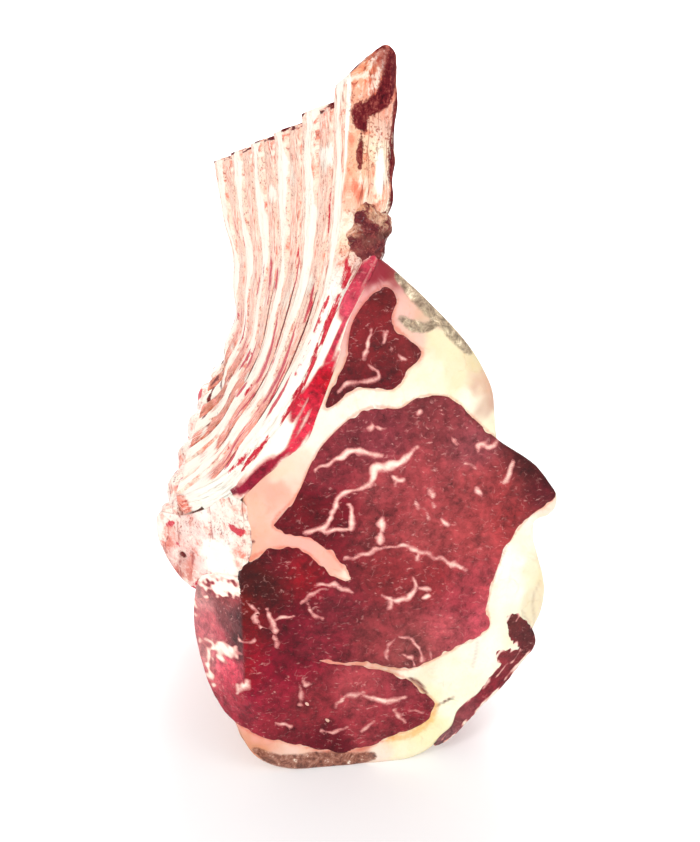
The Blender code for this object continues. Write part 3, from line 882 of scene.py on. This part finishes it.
fat, sx, sz, _, side = through_piece(
    "fat_body", x, z, front_cut(x, z) + rounding, back_cut(x, z) - rounding, runs, fat_bulge
)
flank = side == 1
near = np.full(len(sx), 9.0)
cut = side != 1
for loop in (EYE, LOWER, RIB_END):
    near[cut] = np.minimum(near[cut], np.abs(inside_by(sx[cut], sz[cut], loop)))
give(
    fat,
    tone=tones(sx + 1.6 * waves(sx, sz, 9, 31), sz + 1.6 * waves(sx, sz, 9, 32), FAT_COLOURS, 4.2),
    rind=np.maximum(np.clip(1.0 - off_lines(sx, sz, RIND) / 3.2, 0, 1) * (side == 0), 0.56 * flank),
    rosy=np.exp(-near / 1.8),
    amber=np.clip(1 - off_lines(sx, sz, AMBER) / 4.0, 0, 1) * (side == 0),
    crack=np.maximum(np.clip(1.1 - off_lines(sx, sz, CRACKS) / 0.8, 0, 1),
                     np.clip(0.24 - 0.2 * off_lines(sx, sz, CAP_CREASES), 0, 1)) * (side == 0),
)
finish(fat, "fat", fat_paint, coat=0.12, flesh=0.25)
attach(fat, "root")
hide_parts("upper_fat", "outer_fat")

# ---------------------------------------------------------------------------------------------
# The backbone end: sawn bone with a pale bloom of fat over it, pink marrow and the canal hole,
# darkened inside as painted shade. It runs along the whole roast, and its outside swells once for
# each bone of the back.

CHINE = smooth(
    [
        (-108.5, 128), (-93, 131.5), (-78, 142), (-63.5, 155.5), (-54, 146), (-55, 125),
        (-63, 113), (-80, 97), (-94, 97), (-107.5, 111),
    ], steps=6
)  # fmt: skip


def bone_paint(wire, at, mark):
    """Bone under its skin: mottled from orange pink to cream, with white on its ridge that is a
    painted highlight on the rib crests and bare white bone elsewhere, dark hair lines and specks,
    red tongues of lean on it, and brown where it has dried, which on the lean beside the ribs and
    in the canal hole is painted shade."""
    tone, red, brown, ridge = mark("tone", True), mark("red"), mark("brown"), mark("ridge")
    run, girth = mark("run"), mark("girth")
    mottle = wire.node("CombineXYZ", X=run * 0.085, Y=girth * 0.42, Z=0.0).noise(1.0, 5.0, 0.72)
    threads = wire.node("CombineXYZ", X=run * 0.014, Y=girth * 0.34, Z=0.3).noise(1.0, 3.0, 0.6)
    pores = at.noise(0.75, 3.0, 0.7)
    patch = at.noise(0.06, 2.0, 0.5)
    rosy = (mottle + (patch - 0.5) * 0.5).step(0.50, 0.32) * 0.95
    flushed = tone.tinted((0.88, 0.42, 0.36), rosy)
    # White: a painted highlight along the rib crests, and the real white of bare bone and fat
    # elsewhere.
    white = (ridge + (mottle - 0.5) * 0.9).step(0.36, 0.62)
    stain = (at.noise(0.13, 4.0, 0.65) + (pores - 0.5) * 0.3).step(0.54, 0.68) * (1 - white) * 0.85
    stained = flushed.tinted((0.84, 0.40, 0.33), stain)
    pale = (mottle - (patch - 0.5) * 0.4).step(0.50, 0.66) * 0.6
    lit = stained.towards((1.0, 0.94, 0.82), pale.math("MAXIMUM", white * 0.9))
    hair = threads.thin(0.5, 0.02) * mottle.step(0.56, 0.44)
    hair = hair.math("MAXIMUM", pores.step(0.54, 0.64) * patch.step(0.46, 0.60))
    lined = lit.tinted((0.52, 0.16, 0.15), hair * (1 - white * 0.75) * 0.75)
    ragged = red + (mottle - 0.5) * 7.0 + (pores - 0.5) * 1.6
    lean = pores.ramp((0.3, linear((178, 14, 36))), (0.7, linear((228, 72, 86))))
    reddened = lean.over(lined, ragged.step(0.4, -0.6))
    # Brown crust where bone or lean has dried, and also painted shade beside the ribs and in the canal
    # hole.
    dried = (brown + (mottle - 0.5) * 1.5 + (pores - 0.5) * 0.6).step(0.36, 0.62)
    crust = (pores * 0.45 + mottle * 0.55).ramp(
        (0.36, linear((52, 8, 16))), (0.5, linear((104, 22, 30))), (0.62, linear((160, 80, 70)))
    )
    colour = crust.over(reddened, dried)
    height = mottle * 0.8 + pores * 0.35 - hair * 0.3 - dried * 0.2 + white * 0.25
    rough = 0.36 + pores * 0.2 + dried * 0.2
    return colour, rough, height, 1.0


def chine_bulge(x, z, depth, edge):
    """One swelling for each bone of the back, with a dent between, and small chips."""
    knobs = -2.4 + 2.0 * np.cos((depth - 16) / 44 * 2 * math.pi) + 0.6 * waves(depth, x + z, 15, 71)
    return np.clip(edge / 4, 0, 1) * np.minimum(knobs, 0)


x, z = disc_grid(CHINE[::-1], (-80, 122), 70)
grown = slope(x + z, 20, 14) * np.clip(1 - inside_by(x, z, CHINE) / 6, 0, 1)
low = spot(x, z, (-61, 115), (6, 6))
x, z = x - 0.6 * grown + 1.6 * low, z + 2.2 * grown - 1.2 * low
hole = spot(x, z, (-93, 111), (2.6, 2.2))
border = np.clip(1 - inside_by(x, z, CHINE) / 4, 0, 1) ** 2
lumps = 0.35 * waves(x, z, 16, 72) + 0.12 * waves(x, z, 6, 73)
chine, sx, sz, deep, side = through_piece(
    "backbone_end", x, z, front_cut(x, z) + 0.1 + lumps + 0.7 * border + 4 * hole,
    back_cut(x, z) - 0.4 - lumps - 2.0 * border, np.linspace(0.01, 0.99, 120), chine_bulge,
)
give(
    chine,
    tone=tones(sx, sz, [
        ((-70, 122), (255, 253, 246)), ((-78, 113), (255, 252, 244)), ((-66, 140), (255, 244, 230)),
        ((-88, 118), (242, 180, 168)), ((-95, 113), (240, 190, 182)), ((-84, 131), (244, 186, 178)),
        ((-92, 128), (248, 206, 196)),
        ((-98, 124), (252, 230, 216)), ((-102, 130), (255, 247, 232)), ((-92, 103), (206, 140, 124)),
        ((-83, 100), (252, 226, 216)), ((-62, 118), (254, 228, 210)), ((-58, 132), (250, 222, 206)),
        ((-74, 104), (240, 196, 188)), ((-60, 146), (254, 238, 222)), ((-80, 138), (255, 246, 234)),
    ]),
    red=np.where(side == 0, off_lines(sx, sz, [
        (1.5, [(-66, 141), (-63, 139.5), (-59, 139.5)]), (0.8, [(-97, 117), (-94, 116)]),
        (1.2, [(-87, 98), (-84, 100)]), (1.0, [(-76, 104), (-72, 103)]),
        (1.6, [(-91, 95), (-83, 96), (-76, 97)]), (1.0, [(-103, 125), (-99, 128)]),
    ]), 2.2 + 2.2 * waves(deep, sx + sz, 26, 74) + 8 * (deep < 75)),
    # Painted shade: the canal hole is darkened brown, on top of its dip.
    brown=0.9 * spot(sx, sz, (-93, 111), (2.4, 2)) * (side == 0)
    + 0.25 * (side == 1),
    ridge=0.16 + 0.55 * spot(sx, sz, (-73, 121), (12, 14)) * (side == 0)
    + 0.16 * waves(sx, sz + deep, 22, 75),
    run=np.where(side == 1, deep, 1.2 * sz),
    girth=np.where(side == 1, 0.3 * (sx + sz), 0.25 * sx),
)
finish(chine, "backbone", bone_paint, coat=0.25, flesh=0.1)
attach(chine, "root")
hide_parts("chine_bone")

# ---------------------------------------------------------------------------------------------
# Six rib bones, sawn off at the top. Each is a flat bar under a shiny skin, whiter on its crest,
# with tongues of lean on the lower half. The front one is longer, and dried along its outer side.

RIB_PITCH, RIB_FIRST, RIB_HALF = 44.0, 14.0, 11.0
RIB_LENGTH, RIB_THICKNESS = 330.0, 26.0
TIP_START, TIP_LENGTH = 290.0, 63.0
RIB_STREAKS = [
    (1.9, [(-4.5, 275), (-5, 268), (-6.5, 262)]), (1.7, [(-9, 258), (-12.5, 247.5), (-17.5, 234.5)]),
    (1.4, [(-19.5, 233.5), (-23, 222), (-26, 214)]),
    (1.8, [(-27, 215), (-30.5, 208), (-36, 196), (-43.5, 183.5)]),
    (0.5, [(-13.5, 257.5), (-18, 246.5), (-20.5, 240)]),
    (1.2, [(-45, 188), (-51, 180.5), (-59, 172)]), (0.7, [(-22, 240), (-27, 229), (-31, 220)]),
    (0.7, [(-52, 184), (-60, 175), (-70, 166)]),
]  # fmt: skip


def bar(name, middle, half, low, high, square, along, around, tip, top, rough, knots=(), foot=0.0):
    """A bar up the rack at one depth. Its section at each height is a squared oval between two
    shares of the way from the rack's inner side to its outer one, and its ends are domed. The
    tip gives its extra length, its tilt and how much it is rounded, and the knots swell its
    outer side, each with a height, a size and how far it swells.

    It gives the object, and for each point the section x and z, the depth, the way up from 0 to
    1, the way across from the inner side, and the way from front to back, both -1 to 1.
    """
    near, far = (
        np.column_stack([np.interp(np.linspace(foot, top, along), np.linspace(0, 1, len(c)), c[:, k])
                         for k in (0, 1)])
        for c in (RIB_INNER, RIB_OUTER)
    )
    turn = np.linspace(0, 2 * math.pi, around, endpoint=False)
    across = np.sign(np.cos(turn)) * np.abs(np.cos(turn)) ** square
    back = np.sign(np.sin(turn)) * np.abs(np.sin(turn)) ** square
    shrink = np.concatenate([[0.15, 0.6], np.ones(along - 2)])
    up = np.linspace(foot, 1, along)
    cap = np.linspace(0.96, 0.06, 10)
    near, far = (np.vstack([c, np.repeat(c[-1:], len(cap), axis=0)]) for c in (near, far))
    shrink, up = np.concatenate([shrink, cap]), np.concatenate([up, 1 + 0 * cap])
    dome = np.concatenate([np.zeros(along), 1 - cap**2]) * 0.8
    wander = waves(up[:, None] * 300, across + 2 * back, 24, rough) * 0.35
    wander = wander + 0.18 * waves(up[:, None] * 300, 8 * across + 8 * back, 8, rough + 1)
    size = shrink[:, None] * (1 - 0.03 + 0.035 * wander)
    middle_share, half_share = (low + high) / 2, (high - low) / 2
    share = middle_share + half_share * across * size
    extra, tilt, rounding = tip
    for height, long, by in knots:
        swell = np.exp(-(((near[:, 1:] - height) / long) ** 2)) * np.clip(across, 0, 1)
        share = share + by / RIB_THICKNESS * swell
    x = near[:, :1] + share * (far - near)[:, :1]
    z = near[:, 1:] + share * (far - near)[:, 1:]
    rise = slope(near[:, 1:], TIP_START, TIP_LENGTH)
    z = z + rise * (extra + tilt * (2 * share - 1))
    corner = np.hypot(2 * share - 1.4, 0.3) - 0.3 + 0.16 * (1 + back) * (1 - share)
    z = z - rise**8 * rounding * corner
    z = z - dome[:, None] * (rise > 0.5)
    depth = np.maximum(middle + back * half * size, front_cut(x, z) + 1.2 + 0.4 * back)
    index = np.arange(x.size).reshape(x.shape)
    quads = grid_faces(np.hstack([index, index[:, :1]]).T)
    points = place(x, z, depth)
    ends = np.stack([points[0].mean(axis=0), points[-1].mean(axis=0)])
    a, b = index[0], index[-1]
    fans = [
        np.column_stack([np.roll(a, -1), a, np.full(around, x.size)]),
        np.column_stack([b, np.roll(b, -1), np.full(around, x.size + 1)]),
    ]
    piece = skin(name, np.vstack([points.reshape(-1, 3), ends]), quads, np.vstack(fans)[:, ::-1])

    def whole(values):
        values = np.broadcast_to(values, x.shape)
        return np.concatenate([values.ravel(), [values[0].mean(), values[-1].mean()]])

    fields = (x, z, depth, up[:, None], across * size, back * size)
    return piece, *[whole(field) for field in fields]


def rear_stains(k, up, length, back, least, size, seed):
    """How brown and how warm a piece is towards its foot, from the third rib on to the rear: waves
    about a least value, cut off at 0 and 1, that come in over the lowest third of its height."""
    rear = slope(k, 1.5, 2) * slope(up, 0.36, -0.12)
    stain = rear * np.clip(least + 0.4 * waves(length, back * 12, size, seed), 0, 1)
    warm = rear * np.clip(least + 0.5 + 0.6 * waves(length, back * 12, 17, seed + 1), 0, 1)
    return stain, warm[:, None]


for k in range(6):
    front_rib = k == 0
    tip = (20.0, -1.4, 14.5) if front_rib else (3.0 * (k == 1), 4.0, 0.0)
    rib, sx, sz, deep, up, across, back = bar(
        f"rib_{k + 1}", RIB_FIRST + k * RIB_PITCH, RIB_HALF, 0.02, 0.98, 0.5,
        330 if front_rib else 240, 96 if front_rib else 72, tip, 1.0, 80 + 3 * k,
        [(300, 5, 2.2), (314, 4, 1.2), (334, 6, 1.4)] if front_rib else [], 0.07 * front_rib,
    )
    length = up * RIB_LENGTH
    # Painted highlight: a white band along the middle of each rib's width on its inner side, standing
    # for the shine on its crest.
    middle = -0.36 + 0.22 * waves(length, 0 * sx, 110, 100 + k)
    width = 0.48 + 0.16 * waves(length, 0 * sx, 60, 101 + k)
    ridge = np.clip(1.1 - ((back - middle) / width) ** 2, 0, 1) * np.clip(0.4 - 1.6 * across, 0, 1)
    bare = 0.45 + 0.4 * front_rib + 0.2 * waves(length, back * 9, 40, 105 + k)
    ridge = np.maximum(ridge, slope(up, 0.55, -0.2) * bare)
    tone = linear((255, 224, 203)) * np.ones((len(sx), 1))
    red = 2.5 + 2.5 * waves(length * 0.24, back * 13 + across * 5, 13, 110 + k)
    red = red + 5.0 * np.clip(up - 0.35, -0.3, 1)
    red += 9 * slope(up, 0.66, 0.1) * front_rib
    red += 9 * slope(up, 0.2, -0.09) * (k < 3) + 5 * slope(up, 0.3, -0.1) * (k > 1)
    brown = 0.6 * slope(up, 0.962, 0.03) * (waves(sx, sz + deep, 16, 120 + k) + 0.7)
    stain, warm = rear_stains(k, up, length, back, 0.1, 22, 125 + k)
    brown = np.maximum(brown, stain)
    tone = tone + warm * (linear((222, 142, 104)) - tone)
    if front_rib:
        facing = slope(-back, 0.55, 0.2)
        face = tones(sx, sz, [
            ((-4, 352), (248, 180, 150)), ((5, 360), (244, 172, 132)), ((14, 364), (170, 100, 92)),
            ((8, 350), (236, 160, 134)), ((-2, 330), (248, 196, 164)), ((2, 322), (244, 172, 136)),
            ((9, 325), (255, 246, 214)), ((14, 335), (238, 190, 170)), ((10, 305), (254, 246, 222)),
            ((2, 305), (240, 170, 140)), ((-4, 300), (246, 196, 170)), ((-6, 286), (252, 226, 196)),
            ((-9, 262), (254, 248, 236)), ((-20, 240), (255, 251, 244)), ((-40, 195), (255, 250, 242)),
            ((-60, 170), (254, 246, 230)), ((-2, 270), (246, 206, 190)),
        ], 6.0)
        tone = tone + facing[:, None] * (face - tone)
        red = np.where(facing > 0.3, off_lines(sx, sz, RIB_STREAKS) - 0.2, red)
        # Painted highlight: a white line along the crest of the front rib's face, joined to the white
        # of its lower face and to a pale spot.
        crest = np.interp(sz, [150, 230, 285, 320, 352], [-72, -31, -11.5, -6.8, -4.2])
        off = (sx - crest) / np.interp(sz, [150, 285, 352], [10, 4.5, 3.2])
        white = np.clip(1.1 - off**2, 0, 1)
        white = np.maximum(white, 0.85 * slope(sz, 272, -14))
        white = np.maximum(white, 0.8 * spot(sx, sz, (11, 316), (4, 16)))
        ridge = np.where(facing > 0.3, white, ridge)
        band = off_lines(sx, sz, [
            (4.2, [(17, 372), (16, 360), (13, 350), (7, 345), (1, 343)]),
            (3.2, [(2, 346), (1.5, 341), (3, 335)]),
            (1.2, [(2.5, 335), (2, 326), (1.5, 318)]),
            (2.0, [(20, 352), (19.5, 340), (18.5, 328)]),
            (2.6, [(17, 330), (18, 318), (19, 308), (17, 298)]),
            (4.5, [(14, 296), (6, 289), (2, 282)]),
        ])
        red = np.where(facing > 0.3, np.minimum(red, 9), red)
        brown = np.maximum(brown, np.clip(0.52 - band / 4.5, 0, 1) * facing)
        brown = np.maximum(brown, 0.8 * slope(across, 0.75, 0.2) * (sz > 280))
        brown = np.maximum(brown, 0.9 * slope(up, 0.99, 0.01) * (facing < 0.5))
    give(rib, tone=tone, red=red, brown=brown, ridge=ridge, run=length, girth=across * 9 + back * 14)
    finish(rib, f"rib_bone_{k + 1}", bone_paint, coat=0.08, flesh=0.1, shine=0.06)
    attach(rib, "root")
    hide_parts(f"rib_bone_{k + 1}")

# ---------------------------------------------------------------------------------------------
# A hard brown lump of dried cartilage. It sits on the front of the front rib, over its outer
# edge, pale on its upper and inner knobs; the pale tan on its upper right knob is a painted
# highlight.

LUMP = smooth(
    [
        (-5, 287), (-3.5, 279), (1, 275), (4.5, 271), (10, 271.5), (14, 277), (15, 284), (18, 289),
        (16.5, 296), (11, 298), (8.5, 302), (3, 302.5), (-1, 297), (-2, 291),
    ], steps=10
)  # fmt: skip
LUMP_X, LUMP_Z, LUMP_ROWS = 4.5, 288, 46
# Rings that open from a point in front to the outline and close to a point behind.
turn = np.linspace(0, math.pi, LUMP_ROWS)[:, None]
out = np.sin(turn) ** 0.7
x = LUMP_X + out * (LUMP[:, 0] - LUMP_X)
z = LUMP_Z + out * (LUMP[:, 1] - LUMP_Z)
y = 5.0 - 4.6 * np.cos(turn) + 0 * x
rough = 1.1 * waves(x, z, 8, 201) + 0.6 * waves(x, z, 4, 202)
inward = rough * np.sin(turn) ** 0.5
x = x - 0.25 * inward * np.sign(x - LUMP_X)
y = np.maximum(y + 0.7 * np.abs(rough) * (y < 5), 0.15)
index = np.arange(x.size).reshape(x.shape)
lump = skin(
    "dried_lump", place(x, z, y).reshape(-1, 3), grid_faces(np.hstack([index, index[:, :1]]))
)
x, z, y = x.ravel(), z.ravel(), y.ravel()
ring = index.ravel() // index.shape[1]
give(
    lump,
    # The pale tan at (12, 293), with the brown taken out of the spot there, is a painted highlight on
    # the upper right knob.
    tone=tones(x, z, [
        ((-4, 286), (236, 178, 146)), ((3, 300), (224, 166, 130)), ((5, 287), (120, 60, 54)),
        ((12, 293), (226, 180, 148)), ((14, 284), (96, 46, 44)), ((6, 276), (130, 54, 56)),
    ], 4.0),
    red=9 + 0 * x,
    brown=0.56 + 0.28 * waves(x, z, 10, 203)
    - 0.34 * slope(np.sin(ring / (LUMP_ROWS - 1) * math.pi), 0.8, 0.2)
    - 0.5 * spot(x, z, (11.5, 293), (3, 3)),
    ridge=0.15 + 0 * x,
    run=3 * z,
    girth=x + y,
)
finish(lump, "dried_lump", bone_paint, coat=0.2, flesh=0.05)
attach(lump, "root")
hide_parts("rib_bone_1")

# ---------------------------------------------------------------------------------------------
# The lean between the ribs: sheets under a wet skin that sag a little in from the bones, orange
# pink above and red with white threads below, dark where the saw has left their ends, and with
# painted shade as dark lines along their edges beside the ribs.

for k in range(1, 6):
    middle = RIB_FIRST + (k - 0.5) * RIB_PITCH
    between, sx, _, _, up, across, back = bar(
        f"between_lean_{k}", middle, RIB_PITCH / 2 - RIB_HALF - 0.2, 0.07, 0.88, 0.4, 200, 64,
        (2.0 * (k == 1), 4.0, 0.0), 0.985, 150 + 3 * k,
    )
    length = up * RIB_LENGTH
    tone = linear((251, 208, 186)) * np.ones((len(sx), 1))
    tone += slope(up, 0.5, -0.2)[:, None] * 0.75 * (linear((238, 128, 108)) - tone)
    red = 2.4 + 2.7 * waves(length * 0.24, back * 12, 12, 180 + k) + 5.5 * np.clip(up - 0.4, -0.2, 1)
    foot = slope(up, 0.2, -0.09) * (k < 3)
    red += 9 * foot + 5 * slope(up, 0.3, -0.1) * (k > 1)
    brown = slope(up, 0.95, 0.03) * (0.55 + 0.4 * waves(length, back * 11, 12, 185 + k))
    # Painted shade: brown along both edges beside the ribs, strongest near the foot.
    edge_shade = (0.70 - 0.3 * up) * slope(np.abs(back), 0.84, 0.12)
    brown = np.maximum(brown, edge_shade) * (1 - foot)
    stain, warm = rear_stains(k, up, length, back, 0.2, 20, 190 + k)
    brown = np.maximum(brown, stain)
    tone = tone + warm * (linear((204, 112, 78)) - tone)
    if k < 3:
        reach = np.sin(math.pi * slope(up, 0.28, 0.3))
        red = np.minimum(red, 10 * np.abs(back - 0.35 + 0.3 * np.sin(19 * up)) - 5.0 * reach + 1.5)
    if k < 4:
        # Painted shadow: a thin dark line in the gap beside the rib in front, over the middle and lower
        # part of the first three sheets.
        gap_shadow = np.clip((-back - 0.84 + 0.05 * waves(length, 0 * sx, 60, 199)) / 0.06, 0, 1)
        gap_shadow = gap_shadow * slope(up, 0.66, -0.1) * slope(up, 0.12, 0.02)
        brown = np.maximum(brown, gap_shadow)
    give(
        between, tone=tone, red=red, brown=brown, run=length, girth=across * 9 + back * 14,
        ridge=0.22 + 0.25 * waves(length, back * 8, 38, 195 + k) + 0.6 * foot - 0.12 * (up < 0.45),
    )
    finish(between, f"between_lean_{k}", bone_paint, coat=0.08, flesh=0.1, shine=0.06)
    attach(between, "root")
    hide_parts(f"between_ribs_{k}")

# ---------------------------------------------------------------------------------------------
# The floor, the soft light and the camera: a pale sheet that curves up behind, three square
# lamps and an even white sky, seen from a little above the middle of the cut face.

a, b = np.meshgrid(np.linspace(-2.6, 2.6, 3), np.linspace(-2.2, 1.0, 60), indexing="ij")
up = 0.9 * slope(b, 0.1, 0.9) ** 2 * 2.2
floor = skin(
    "floor", np.stack([a, b * 1.6, up], axis=-1).reshape(-1, 3),
    grid_faces(np.arange(a.size).reshape(a.shape)),
)
paper = bpy.data.materials.new("floor")
paper.use_nodes = True
sheet = paper.node_tree.nodes["Principled BSDF"].inputs
sheet["Base Color"].default_value = (0.78, 0.78, 0.78, 1)
sheet["Emission Color"].default_value = (1.0, 1.0, 1.0, 1)
sheet["Emission Strength"].default_value = 0.22
sheet["Roughness"].default_value = 0.9
floor.data.materials.append(paper)

world = bpy.data.worlds.new("studio")
world.use_nodes = True
sky = world.node_tree.nodes["Background"].inputs
sky["Color"].default_value = (1.0, 1.0, 1.0, 1)
sky["Strength"].default_value = 0.66
bpy.context.scene.world = world


def lamp(name, spot, aim, size, power):
    """A soft square light at a spot, facing an aim."""
    light = bpy.data.lights.new(name, "AREA")
    light.shape, light.size, light.energy = "SQUARE", size, power
    held = bpy.data.objects.new(name, light)
    bpy.context.scene.collection.objects.link(held)
    held.location = spot
    away = np.array(aim, float) - np.array(spot, float)
    held.rotation_euler = (
        math.acos(-away[2] / np.linalg.norm(away)), 0, math.atan2(away[1], away[0]) - math.pi / 2
    )


lamp("key", (-0.75, -1.3, 1.15), (0, 0, 0.18), 0.45, 13)
lamp("fill", (1.1, -1.0, 0.7), (0, 0, 0.2), 0.7, 5)
lamp("back", (0.3, 1.0, 1.6), (0.1, 1.6, 0.3), 1.0, 40)

camera = bpy.data.objects.new("camera", bpy.data.cameras.new("camera"))
bpy.context.scene.collection.objects.link(camera)
camera.data.lens = 34.2
camera.location = (-0.05895, -0.51145, 0.27916)
camera.rotation_euler = (math.radians(90 - 12), 0, math.radians(-8))
camera.data.clip_start = 0.01
bpy.context.scene.camera = camera
bpy.context.scene.view_settings.view_transform = "Standard"

low, high = cad_box
